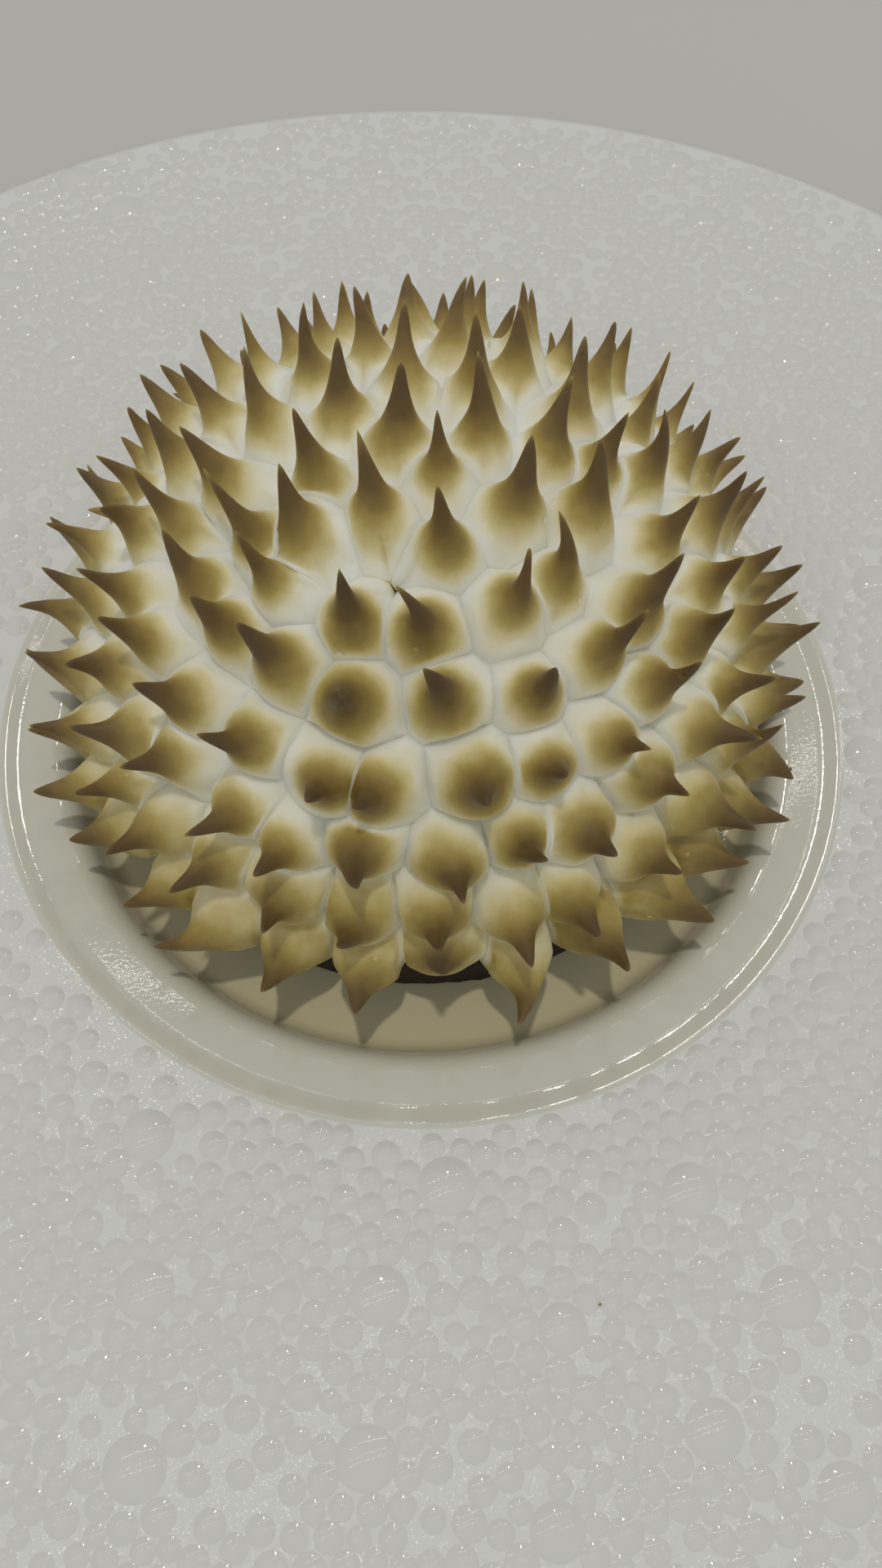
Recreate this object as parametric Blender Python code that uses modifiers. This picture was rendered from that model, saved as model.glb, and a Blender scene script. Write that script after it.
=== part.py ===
"""Baked alaska on its plate.

A dome of small meringue kisses, piped in level rings from a plain round nozzle, sits on a disc of dark
chocolate sponge in the well of a wide-rimmed porcelain plate.
Metres, +Z up.  The origin is on the plate's axis, at the level that the foot ring stands on.
"""
import math
import random

import bmesh
import bpy
from mathutils import Vector

MM = 0.001
GAP = 0.3 * MM                    # clearance between pieces that touch

# Plate, a turned porcelain form.  Heights are above the table.
PLATE_RADIUS = 155.0 * MM
RIM_TOP = 16.5 * MM               # mean height of the raised bubbles on the rim
RIM_INNER_RADIUS = 68.0 * MM      # where the bubbled rim meets the smooth band
RIM_EDGE_RADIUS = 2.3 * MM        # rounding of the outer edge
WELL_FLOOR = 8.0 * MM
# Corners of the section, as radius and height: up the well's wall, over the smooth band, then down the back.
FLOOR_EDGE = (53.6 * MM, WELL_FLOOR)
WALL_FOOT = (55.1 * MM, 9.4 * MM)
WALL_TOP = (56.4 * MM, 13.8 * MM)
BAND_INNER = (58.2 * MM, 15.3 * MM)
BAND_OUTER = (67.0 * MM, 15.8 * MM)
RIM_ROOT = (80.0 * MM, 10.2 * MM)
BACK_BEND = (66.0 * MM, 7.4 * MM)
FOOT_BEND = (59.0 * MM, 1.6 * MM)
FOOT_OUTER = (57.0 * MM, 0.0)
FOOT_INNER = (53.5 * MM, 0.0)
RECESS_EDGE = (51.5 * MM, 3.2 * MM)
PLATE_STEPS = 48
EDGE_STEPS = 4

# Sponge disc, which lies in the well a little behind the plate's axis.
FOOD_OFFSET_Y = 4.5 * MM
BASE_RADIUS = 48.8 * MM
BASE_BOTTOM = WELL_FLOOR + GAP
BASE_TOP = 21.8 * MM
BASE_ROUNDING = 0.8 * MM

# Meringue dome.
DOME_CENTRE = Vector((-0.4 * MM, FOOD_OFFSET_Y - 0.5 * MM, 21.0 * MM))
VALLEY_RADIUS = 49.5 * MM         # from the dome's centre to the deepest creases
SADDLE_RISE = 1.6                 # how fast a crease climbs towards its nearest kisses
CORNER_DISTANCE = 6.2 * MM        # from a kiss to the deepest corner of its outline
PEAK_LENGTH = 12.8 * MM           # from the creases to the tip
PEAK_SPREAD = 1.4 * MM            # how much the peaks differ in length
LEAN_SPREAD = 2.1 * MM            # how far the tips lean sideways at random
# All peaks are drawn off a little to the back left, those near the top further than those lower down.
LOW_PULL = Vector((-0.7 * MM, 1.3 * MM, 0.6 * MM))
HIGH_PULL = Vector((-0.9 * MM, 4.4 * MM, 1.4 * MM))
PULL_LATITUDES = (40.0, 62.0)     # where the low pull ends and the high pull begins, in degrees
SQUASHED_KISS = 24                # a kiss of the lowest ring whose peak is squashed flat
SQUASHED_LENGTH = 5.5 * MM
MERINGUE_BOTTOM = BASE_TOP + GAP
BOTTOM_RADIUS = 49.6 * MM

# Each ring of kisses: latitude and first azimuth in degrees, and how many.
RINGS = ((7.1, 5.1, 32), (18.6, 6.8, 31), (30.4, 2.4, 29), (41.6, 7.0, 25), (52.8, 8.0, 20), (63.4, 11.4, 15))
# The last kisses close the top by eye: latitude and azimuth in degrees.
TOP_KISSES = ((69.5, -141.5), (75.5, -165.0), (74.5, 140.0), (74.5, 101.0), (74.0, 62.0), (71.0, 12.0),
              (74.0, -33.0), (74.0, -76.0), (78.5, -118.0), (80.5, 20.0), (84.8, -53.0), (86.0, 141.0))
LATITUDE_JITTER = 1.7             # degrees
AZIMUTH_JITTER = 2.1              # degrees, along the ring
SIZE_SPREAD = 0.0022              # larger kisses take a wider cell from their neighbours
SEED = 29

# One kiss, as fractions of its height: the sides stay full below the waist and then draw in to a thin peak.
WAIST = 0.46
TAPER = 4.2
BELLY_LEVEL = 0.22
NECK_LEVEL = 0.52
NECK_SIDES = 6
SHORTEST_SPLIT_EDGE = 2.6 * MM    # crease edges longer than this get a point at their middle


def clear_scene():
    for item in list(bpy.data.objects):
        bpy.data.objects.remove(item, do_unlink=True)


def make_material(name, colour, roughness, subsurface=0.0):
    material = bpy.data.materials.new(name)
    material.use_nodes = True
    shader = material.node_tree.nodes["Principled BSDF"]
    shader.inputs["Base Color"].default_value = (*colour, 1.0)
    shader.inputs["Roughness"].default_value = roughness
    shader.inputs["Metallic"].default_value = 0.0
    shader.inputs["Subsurface Weight"].default_value = subsurface
    return material


def add_object(name, mesh, collection, material):
    part = bpy.data.objects.new(name, mesh)
    collection.objects.link(part)
    mesh.materials.append(material)
    return part


def arc(centre, radius, start, end, steps):
    """Points on an arc in the radius-height plane, angles in degrees."""
    points = []
    for step in range(steps + 1):
        angle = math.radians(start + (end - start) * step / steps)
        points.append((centre[0] + radius * math.cos(angle), centre[1] + radius * math.sin(angle)))
    return points


def turned(name, profile, collection, material):
    """A turned piece: its half section is spun round the vertical axis."""
    mesh = bpy.data.meshes.new(name)
    edges = [(index, index + 1) for index in range(len(profile) - 1)]
    mesh.from_pydata([(radius, 0.0, height) for radius, height in profile], edges, [])
    part = add_object(name, mesh, collection, material)
    screw = part.modifiers.new("turned", "SCREW")
    screw.steps = PLATE_STEPS
    screw.render_steps = PLATE_STEPS
    screw.use_merge_vertices = True
    screw.merge_threshold = 0.00001
    screw.use_smooth_shade = True
    return part


def plate_profile():
    """Half section of the plate, from the middle of the well over the rim and back under it."""
    edge_centre = (PLATE_RADIUS - RIM_EDGE_RADIUS, RIM_TOP - RIM_EDGE_RADIUS)
    profile = [(0.0, WELL_FLOOR), FLOOR_EDGE, WALL_FOOT, WALL_TOP]
    profile += [BAND_INNER, BAND_OUTER, (RIM_INNER_RADIUS, RIM_TOP)]
    profile += arc(edge_centre, RIM_EDGE_RADIUS, 90.0, -90.0, EDGE_STEPS)
    profile += [RIM_ROOT, BACK_BEND, FOOT_BEND]
    profile += [FOOT_OUTER, FOOT_INNER, RECESS_EDGE, (0.0, RECESS_EDGE[1])]
    return profile


def base_profile():
    """Half section of the sponge disc, with its two edges a little rounded."""
    return [(0.0, BASE_TOP), (BASE_RADIUS - BASE_ROUNDING, BASE_TOP), (BASE_RADIUS, BASE_TOP - BASE_ROUNDING),
            (BASE_RADIUS, BASE_BOTTOM + BASE_ROUNDING), (BASE_RADIUS - BASE_ROUNDING, BASE_BOTTOM),
            (0.0, BASE_BOTTOM)]


def direction(latitude, azimuth):
    level = math.cos(math.radians(latitude))
    return Vector((level * math.cos(math.radians(azimuth)), level * math.sin(math.radians(azimuth)),
                   math.sin(math.radians(latitude))))


def smooth_step(low, high, value):
    share = min(1.0, max(0.0, (value - low) / (high - low)))
    return share * share * (3.0 - 2.0 * share)


def pipe_kisses():
    """Every kiss: the direction of its axis, its weight in the outline, its peak's length and lean."""
    rng = random.Random(SEED)
    places = []
    for latitude, first, count in RINGS:
        for index in range(count):
            azimuth = first + 360.0 * index / count
            azimuth += rng.uniform(-AZIMUTH_JITTER, AZIMUTH_JITTER) / math.cos(math.radians(latitude))
            places.append((latitude + rng.uniform(-LATITUDE_JITTER, LATITUDE_JITTER), azimuth))
    places += TOP_KISSES
    kisses = []
    for latitude, azimuth in places:
        axis = direction(latitude, azimuth)
        east = Vector((0.0, 0.0, 1.0)).cross(axis).normalized()
        north = axis.cross(east)
        weight = 1.0 + rng.uniform(-SIZE_SPREAD, SIZE_SPREAD)
        length = PEAK_LENGTH + rng.uniform(-PEAK_SPREAD, PEAK_SPREAD)
        turn = rng.uniform(0.0, 2.0 * math.pi)
        lean = LEAN_SPREAD * math.sqrt(rng.random()) * (east * math.cos(turn) + north * math.sin(turn))
        pull = LOW_PULL.lerp(HIGH_PULL, smooth_step(*PULL_LATITUDES, latitude))
        lean += pull - axis * pull.dot(axis)
        if len(kisses) == SQUASHED_KISS:
            length = SQUASHED_LENGTH
            lean *= 0.0
        kisses.append((axis, weight, length, lean))
    return kisses


def crease_network(kisses):
    """The corners where three kisses meet, each with the numbers of those kisses.

    The corners are the directions of the faces of the kisses' convex hull.  A ring of stand-in points
    below the lowest ring, with negative numbers, closes its outlines along the dome's bottom edge.
    """
    hull = bmesh.new()
    owner = {}
    for number, (axis, weight, _, _) in enumerate(kisses):
        owner[hull.verts.new(axis * weight)] = number
    lowest, _, count = RINGS[0]
    bottom_latitude = math.degrees(math.asin((MERINGUE_BOTTOM - DOME_CENTRE.z) / BOTTOM_RADIUS))
    below = 2.0 * bottom_latitude - lowest
    for number in range(count):
        between = kisses[number][0] + kisses[(number + 1) % count][0]
        azimuth = math.degrees(math.atan2(between.y, between.x))
        owner[hull.verts.new(direction(below, azimuth))] = -1 - number
    bmesh.ops.convex_hull(hull, input=hull.verts)
    hull.normal_update()
    corners = []
    for face in hull.faces:
        numbers = [owner[vert] for vert in face.verts]
        if max(numbers) >= 0:
            corners.append((face.normal.copy(), numbers))
    hull.free()
    return corners


def crease_point(way, kisses, on_bottom):
    """The place of a point on the creases, which climb where two kisses press together."""
    if on_bottom:
        level = Vector((way.x, way.y, 0.0)).normalized() * BOTTOM_RADIUS
        return Vector((DOME_CENTRE.x, DOME_CENTRE.y, MERINGUE_BOTTOM)) + level
    nearest = min((axis - way).length for axis, _, _, _ in kisses) * VALLEY_RADIUS
    return DOME_CENTRE + way * (VALLEY_RADIUS + SADDLE_RISE * max(0.0, CORNER_DISTANCE - nearest))


def fullness(level):
    """Width of a kiss at a fraction of its height, as a share of its width at the creases."""
    return 1.0 / (1.0 + (level / WAIST) ** TAPER)


def loft_rings(mesh, outer, inner):
    """Join two rings of (angle, vertex) whose numbers of vertices may differ."""
    done_outer = 0
    done_inner = 0
    while done_outer < len(outer) or done_inner < len(inner):
        outer_here = outer[done_outer % len(outer)][1]
        inner_here = inner[done_inner % len(inner)][1]
        next_outer = outer[(done_outer + 1) % len(outer)]
        next_inner = inner[(done_inner + 1) % len(inner)]
        outer_angle = next_outer[0] + 2.0 * math.pi * ((done_outer + 1) // len(outer))
        inner_angle = next_inner[0] + 2.0 * math.pi * ((done_inner + 1) // len(inner))
        if done_inner == len(inner) or (done_outer < len(outer) and outer_angle <= inner_angle):
            mesh.faces.new((outer_here, next_outer[1], inner_here))
            done_outer += 1
        else:
            mesh.faces.new((outer_here, next_inner[1], inner_here))
            done_inner += 1


def build_kiss(mesh, kiss, outline):
    """Loft one kiss from its outline of crease vertices up to its tip."""
    axis, _, length, lean = kiss
    east = Vector((0.0, 0.0, 1.0)).cross(axis).normalized()
    north = axis.cross(east)
    foot = DOME_CENTRE + axis * VALLEY_RADIUS
    crease = []
    for vert in outline:
        offset = vert.co - foot
        crease.append((math.atan2(offset.dot(north), offset.dot(east)), vert))
    crease.sort(key=lambda pair: pair[0])
    reach = [math.hypot((vert.co - foot).dot(east), (vert.co - foot).dot(north)) for _, vert in crease]
    mean_reach = sum(reach) / len(reach)

    def ring_vertex(angle, width, level):
        side = east * math.cos(angle) + north * math.sin(angle)
        return mesh.verts.new(foot + side * width + axis * (length * level) + lean * level ** 2)

    belly = []
    for (angle, _), width in zip(crease, reach):
        rounded = 0.5 * (width + mean_reach)
        belly.append((angle, ring_vertex(angle, rounded * fullness(BELLY_LEVEL), BELLY_LEVEL)))
    neck = []
    for side in range(NECK_SIDES):
        angle = crease[0][0] + 2.0 * math.pi * side / NECK_SIDES
        neck.append((angle, ring_vertex(angle, mean_reach * fullness(NECK_LEVEL), NECK_LEVEL)))
    tip = mesh.verts.new(foot + axis * length + lean)
    loft_rings(mesh, crease, belly)
    loft_rings(mesh, belly, neck)
    for (_, here), (_, after) in zip(neck, neck[1:] + neck[:1]):
        mesh.faces.new((here, after, tip))


def build_meringue(collection, material):
    """One solid: every kiss is lofted from the shared creases, and a flat underside closes the dome."""
    kisses = pipe_kisses()
    mesh = bmesh.new()
    outlines = [[] for _ in kisses]
    creases = {}
    for way, numbers in crease_network(kisses):
        corner = mesh.verts.new(crease_point(way, kisses, min(numbers) < 0))
        for index, number in enumerate(numbers):
            if number >= 0:
                outlines[number].append(corner)
            pair = frozenset((number, numbers[index - 1]))
            creases.setdefault(pair, []).append((way, corner))

    for pair, ends in creases.items():
        if max(pair) < 0 or (ends[0][1].co - ends[1][1].co).length < SHORTEST_SPLIT_EDGE:
            continue
        way = (ends[0][0] + ends[1][0]).normalized()
        middle = mesh.verts.new(crease_point(way, kisses, min(pair) < 0))
        for number in pair:
            if number >= 0:
                outlines[number].append(middle)

    for kiss, outline in zip(kisses, outlines):
        build_kiss(mesh, kiss, outline)
    bottom_edge = [edge for edge in mesh.edges if edge.is_boundary]
    bmesh.ops.contextual_create(mesh, geom=bottom_edge)
    bmesh.ops.recalc_face_normals(mesh, faces=mesh.faces)
    data = bpy.data.meshes.new("meringue")
    mesh.to_mesh(data)
    mesh.free()
    data.shade_smooth()
    return add_object("meringue", data, collection, material)


def main():
    clear_scene()
    collection = bpy.data.collections.new("baked_alaska")
    bpy.context.scene.collection.children.link(collection)
    porcelain = make_material("glazed_porcelain", (0.80, 0.79, 0.75), 0.12)
    sponge = make_material("chocolate_sponge", (0.030, 0.016, 0.010), 0.85)
    toasted = make_material("toasted_meringue", (0.58, 0.46, 0.25), 0.55, subsurface=0.2)
    turned("plate", plate_profile(), collection, porcelain)
    base = turned("base", base_profile(), collection, sponge)
    base.location.y = FOOD_OFFSET_Y
    build_meringue(collection, toasted)


main()
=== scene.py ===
import math
import random
from types import SimpleNamespace

import bmesh
import bpy
import numpy as np
from mathutils import Matrix, Quaternion, Vector, geometry, noise


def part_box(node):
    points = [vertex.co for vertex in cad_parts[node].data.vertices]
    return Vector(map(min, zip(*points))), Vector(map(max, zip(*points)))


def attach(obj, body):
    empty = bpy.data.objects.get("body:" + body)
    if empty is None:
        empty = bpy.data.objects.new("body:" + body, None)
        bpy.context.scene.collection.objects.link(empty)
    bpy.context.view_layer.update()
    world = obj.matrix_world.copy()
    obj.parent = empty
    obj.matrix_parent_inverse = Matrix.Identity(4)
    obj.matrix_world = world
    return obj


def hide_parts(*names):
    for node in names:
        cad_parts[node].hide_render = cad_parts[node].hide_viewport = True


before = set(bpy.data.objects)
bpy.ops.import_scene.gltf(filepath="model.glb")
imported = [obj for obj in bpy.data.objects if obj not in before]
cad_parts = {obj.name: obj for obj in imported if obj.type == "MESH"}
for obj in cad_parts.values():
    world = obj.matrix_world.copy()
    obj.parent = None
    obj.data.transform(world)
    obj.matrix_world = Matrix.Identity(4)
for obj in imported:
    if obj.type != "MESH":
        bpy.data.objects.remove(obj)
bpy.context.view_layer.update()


# The view: a small camera held over the front of the plate and tipped down at the dome, rolled a little as a
# hand rolls it.
MM = 0.001
plate_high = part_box("plate")[1]

CAMERA_ELEVATION = math.radians(61.19)
CAMERA_ROLL = math.radians(1.32)
CAMERA_DISTANCE = 221.6 * MM
CAMERA_AIM = Vector((3.3 * MM, -13.1 * MM, plate_high.z - 0.5 * MM))
CAMERA_LENS = 31.875                          # focal length, in millimetres as Blender takes it
CAMERA_SENSOR = 36.0
CAMERA_NEAR = 10.0 * MM

camera = bpy.data.objects.new("camera", bpy.data.cameras.new("camera"))
bpy.context.scene.collection.objects.link(camera)
backward = Vector((0.0, -math.cos(CAMERA_ELEVATION), math.sin(CAMERA_ELEVATION)))
upward = Vector((1.0, 0.0, 0.0)).cross(-backward)
rightward = math.cos(CAMERA_ROLL) * Vector((1.0, 0.0, 0.0)) + math.sin(CAMERA_ROLL) * upward
camera.matrix_world = Matrix((rightward, backward.cross(rightward), backward)).transposed().to_4x4()
camera.location = CAMERA_AIM + CAMERA_DISTANCE * backward
camera.data.sensor_width = CAMERA_SENSOR
camera.data.lens = CAMERA_LENS
camera.data.clip_start = CAMERA_NEAR
bpy.context.scene.camera = camera
bpy.context.scene.view_settings.view_transform = "Standard"


# The room: a warm lamp above the front of the plate, kept from glaring in the glaze, a small spot high behind
# the dome, and daylight from all round.  Three long tubes under the ceiling show only as reflections, because
# what they light is part of the daylight.  The floor is a plain pale board.
LAMP_PLACE = Vector((-0.02, -0.19, 1.3))
LAMP_SIZE = 45.0 * MM
LAMP_WATTS = 3.8
LAMP_COLOUR = "#fff8ec"
SPOT_PLACE = Vector((0.02, 0.70, 1.15))
SPOT_SIZE = 70.0 * MM
SPOT_WATTS = 0.42
SPOT_COLOUR = "#fffdf8"
TUBE_LENGTH = 2.6
TUBE_HEIGHT = 1.9
TUBE_TURN = math.radians(19.6)
# Each tube: how far behind the plate it crosses, its width and its power.
TUBES = ((0.89, 18.0 * MM, 1.9), (0.20, 14.0 * MM, 0.9), (-0.10, 14.0 * MM, 0.8))
TUBE_COLOUR = "#fbfaf8"
DAYLIGHT_COLOUR = "#e6e8ea"
DAYLIGHT_STRENGTH = 0.57
FLOOR_SIZE = 20.0
BOARD_CLOUDS = 40.0 * MM                      # size of the faint clouds in the floor's paint
BOARD_PAINT = ((0.0, "#c9c7c1"), (1.0, "#cfcdc8"))


def linear(hex_colour):
    """An sRGB hex colour as the linear colour that lamps and shaders take."""
    channels = [int(hex_colour[at:at + 2], 16) / 255.0 for at in (1, 3, 5)]
    return [c / 12.92 if c <= 0.04045 else ((c + 0.055) / 1.055) ** 2.4 for c in channels]


def hang_lamp(name, place, aim, size, watts, colour):
    """An area lamp: a disc where its size is one number, a strip where it is a length and a width."""
    lamp = bpy.data.lights.new(name, "AREA")
    if isinstance(size, tuple):
        lamp.shape = "RECTANGLE"
        lamp.size, lamp.size_y = size
    else:
        lamp.shape = "DISK"
        lamp.size = size
    lamp.energy = watts
    lamp.color = linear(colour)
    hung = bpy.data.objects.new(name, lamp)
    bpy.context.scene.collection.objects.link(hung)
    hung.location = place
    hung.rotation_mode = "QUATERNION"
    hung.rotation_quaternion = (aim - place).to_track_quat("-Z", "Y")
    return hung


def add_node(material, kind, inputs, **settings):
    """Add a shader node with its settings.  Each input is a value, or the output socket that feeds it."""
    made = material.node_tree.nodes.new(kind)
    for setting, value in settings.items():
        setattr(made, setting, value)
    for socket, value in inputs.items():
        if isinstance(value, bpy.types.NodeSocket):
            material.node_tree.links.new(value, made.inputs[socket])
        else:
            made.inputs[socket].default_value = value
    return made


def new_material(name):
    """An empty material, ready for its nodes."""
    material = bpy.data.materials.new(name)
    material.use_nodes = True
    material.node_tree.nodes.clear()
    return material


def set_ramp(ramp_node, stops):
    """Give a colour ramp its stops, each a position and an sRGB hex colour."""
    ramp = ramp_node.color_ramp
    while len(ramp.elements) < len(stops):
        ramp.elements.new(1.0)
    for element, (position, colour) in zip(ramp.elements, stops):
        element.position = position
        element.color = (*linear(colour), 1.0)


def finish_material(material, shader):
    """Lead the shader out to the surface."""
    add_node(material, "ShaderNodeOutputMaterial", {"Surface": shader.outputs["BSDF"]})
    return material


def add_piece(name, mesh, material):
    """Put a mesh in the scene as an object of one material."""
    piece = bpy.data.objects.new(name, mesh)
    bpy.context.scene.collection.objects.link(piece)
    mesh.materials.append(material)
    return piece


plate_middle = Vector((0.0, 0.0, plate_high.z))
lamp = hang_lamp("lamp", LAMP_PLACE, plate_middle, LAMP_SIZE, LAMP_WATTS, LAMP_COLOUR)
lamp.visible_glossy = False
hang_lamp("spot", SPOT_PLACE, plate_middle, SPOT_SIZE, SPOT_WATTS, SPOT_COLOUR)
for behind, width, watts in TUBES:
    tube_place = Vector((0.0, behind, TUBE_HEIGHT))
    straight_below = Vector((0.0, behind, 0.0))
    tube = hang_lamp("tube", tube_place, straight_below, (TUBE_LENGTH, width), watts, TUBE_COLOUR)
    tube.rotation_quaternion = Quaternion((0.0, 0.0, 1.0), TUBE_TURN) @ tube.rotation_quaternion
    tube.visible_diffuse = False

world = bpy.data.worlds.new("daylight")
bpy.context.scene.world = world
world.use_nodes = True
daylight = world.node_tree.nodes["Background"]
daylight.inputs["Color"].default_value = (*linear(DAYLIGHT_COLOUR), 1.0)
daylight.inputs["Strength"].default_value = DAYLIGHT_STRENGTH


def painted_board():
    """Painted board, sprayed matt: a pale grey, clouded so faintly that it looks even."""
    material = new_material("painted_board")
    clouds = add_node(material, "ShaderNodeTexNoise", {"Scale": 1.0 / BOARD_CLOUDS, "Detail": 3.0})
    tint = add_node(material, "ShaderNodeValToRGB", {"Fac": clouds.outputs["Fac"]})
    set_ramp(tint, BOARD_PAINT)
    shader = add_node(material, "ShaderNodeBsdfPrincipled", {
        "Base Color": tint.outputs["Color"], "Roughness": 0.6})
    return finish_material(material, shader)


floor_mesh = bpy.data.meshes.new("floor")
edge = FLOOR_SIZE / 2.0
floor_corners = [(-edge, -edge, 0.0), (edge, -edge, 0.0), (edge, edge, 0.0), (-edge, edge, 0.0)]
floor_mesh.from_pydata(floor_corners, [], [(0, 1, 2, 3)])
add_piece("floor", floor_mesh, painted_board())


# The plate: one piece of porcelain, pressed and turned, with a well, a smooth band round it and a wide flat
# rim that is covered in raised bubbles.  It is glazed all over, with a fine glitter between the bubbles.
PLATE_RADIUS = plate_high.x
PLATE_STEPS = 288
ROUNDING_STEP = math.radians(9.0)
ROUNDING_LEAST = 4                            # steps in even the slightest rounding
RIM_LEVEL = plate_high.z - 0.25 * MM          # between the bubbles
RIM_INSIDE = 68.6 * MM
RIM_OUTSIDE = PLATE_RADIUS - 2.2 * MM
WELL_FLOOR = 8.0 * MM
BAND_LEVEL = 15.5 * MM
RECESS_LEVEL = 3.2 * MM                       # the underside of the floor, inside the foot
BAND_PAINTED_BOUNCE = 0.3                              # share of the well's painted warm bounce light and shade on the band, where the well is 1 and the rim 0
# Corners of the half section as radius, height and rounding: over the top, then down the back.
TOP_CORNERS = ((0.0, WELL_FLOOR, 0.0), (54.6 * MM, WELL_FLOOR, 2.5 * MM),
               (57.4 * MM, BAND_LEVEL, 4.2 * MM), (65.3 * MM, BAND_LEVEL, 6.5 * MM),
               (67.7 * MM, RIM_LEVEL, 3.5 * MM), (RIM_INSIDE, RIM_LEVEL, 0.0))
BACK_CORNERS = ((RIM_OUTSIDE, RIM_LEVEL, 0.0), (PLATE_RADIUS, RIM_LEVEL, 2.1 * MM),
                (PLATE_RADIUS, 11.9 * MM, 2.1 * MM), (80.0 * MM, 10.2 * MM, 8.0 * MM),
                (59.6 * MM, 1.2 * MM, 1.6 * MM), (57.0 * MM, 0.0, 0.5 * MM), (53.5 * MM, 0.0, 0.5 * MM),
                (51.5 * MM, RECESS_LEVEL, 1.2 * MM), (0.0, RECESS_LEVEL, 0.0))


def rounded_section(corners):
    """Points along a half section of the plate, with each (radius, height, rounding) corner rounded off."""
    points = [Vector(corners[0][:2])]
    for before, corner, after in zip(corners, corners[1:], corners[2:]):
        here = Vector(corner[:2])
        back = (Vector(before[:2]) - here).normalized()
        on = (Vector(after[:2]) - here).normalized()
        turn = math.pi - back.angle(on)
        reach = corner[2] * math.tan(turn / 2.0)
        centre = here + (back + on).normalized() * (corner[2] / math.cos(turn / 2.0))
        start = here + back * reach - centre
        steps = max(ROUNDING_LEAST, math.ceil(turn / ROUNDING_STEP))
        way = 1.0 if back.x * on.y - back.y * on.x < 0.0 else -1.0
        for step in range(steps + 1):
            angle = way * turn * step / steps
            spun = Vector((start.x * math.cos(angle) - start.y * math.sin(angle),
                           start.x * math.sin(angle) + start.y * math.cos(angle)))
            points.append(centre + spun)
    points.append(Vector(corners[-1][:2]))
    return points


def press_plate():
    """One closed mesh, turned: the well, the band, the rim's flat ground, the edge and the back."""
    top = rounded_section(TOP_CORNERS)
    section = top + rounded_section(BACK_CORNERS)
    ground_ring = len(top) - 2
    points = []
    faces = []
    on_ground = []
    painted_bounce_share = []
    for ring, place in enumerate(section[1:-1]):
        for step in range(PLATE_STEPS):
            angle = 2.0 * math.pi * step / PLATE_STEPS
            points.append((place.x * math.cos(angle), place.x * math.sin(angle), place.y))
            # Painted warm bounce light and shade: full in the well, a share on the band, none on the rim.
            depth = min(1.0, max(0.0, (BAND_LEVEL - place.y) / (BAND_LEVEL - WELL_FLOOR)))
            painted_bounce_share.append(BAND_PAINTED_BOUNCE + (1.0 - BAND_PAINTED_BOUNCE) * depth if ring < ground_ring else 0.0)
    for ring in range(len(section) - 3):
        for step in range(PLATE_STEPS):
            after = (step + 1) % PLATE_STEPS
            here, there = ring * PLATE_STEPS, (ring + 1) * PLATE_STEPS
            faces.append((there + step, there + after, here + after, here + step))
            on_ground.append(float(ring == ground_ring))
    for ring, height, outward in ((0, section[0].y, True), (len(section) - 3, section[-1].y, False)):
        points.append((0.0, 0.0, height))
        painted_bounce_share.append(1.0)
        for step in range(PLATE_STEPS):
            side = (ring * PLATE_STEPS + step, ring * PLATE_STEPS + (step + 1) % PLATE_STEPS)
            faces.append((*(side if outward else reversed(side)), len(points) - 1))
            on_ground.append(0.0)
    mesh = bpy.data.meshes.new("plate")
    mesh.from_pydata(points, [], faces)
    mesh.shade_smooth()
    mesh.attributes.new("ground", "FLOAT", "FACE").data.foreach_set("value", on_ground)
    mesh.attributes.new("painted_bounce", "FLOAT", "POINT").data.foreach_set("value", painted_bounce_share)
    return mesh


RIPPLE_SIZE = 0.6 * MM
RIPPLE_DEPTH = 0.010 * MM
WAVE_SIZE = 7.0 * MM                          # of the uneven ground between the bubbles
WAVE_DEPTH = 0.25 * MM
FACET_SIZE = 0.30 * MM                        # of the ground's glitter, drawn coarse enough to show
FACET_TILT = 0.14
# From the well and band, tinted warm and darker as painted bounce light and shade, through the bubbles to the
# white ground.
PORCELAIN_AND_PAINTED_BOUNCE = ((0.0, "#d2caa8"), (0.35, "#d4d3c5"), (0.5, "#dadad5"), (1.0, "#e0e1dd"))


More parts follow.
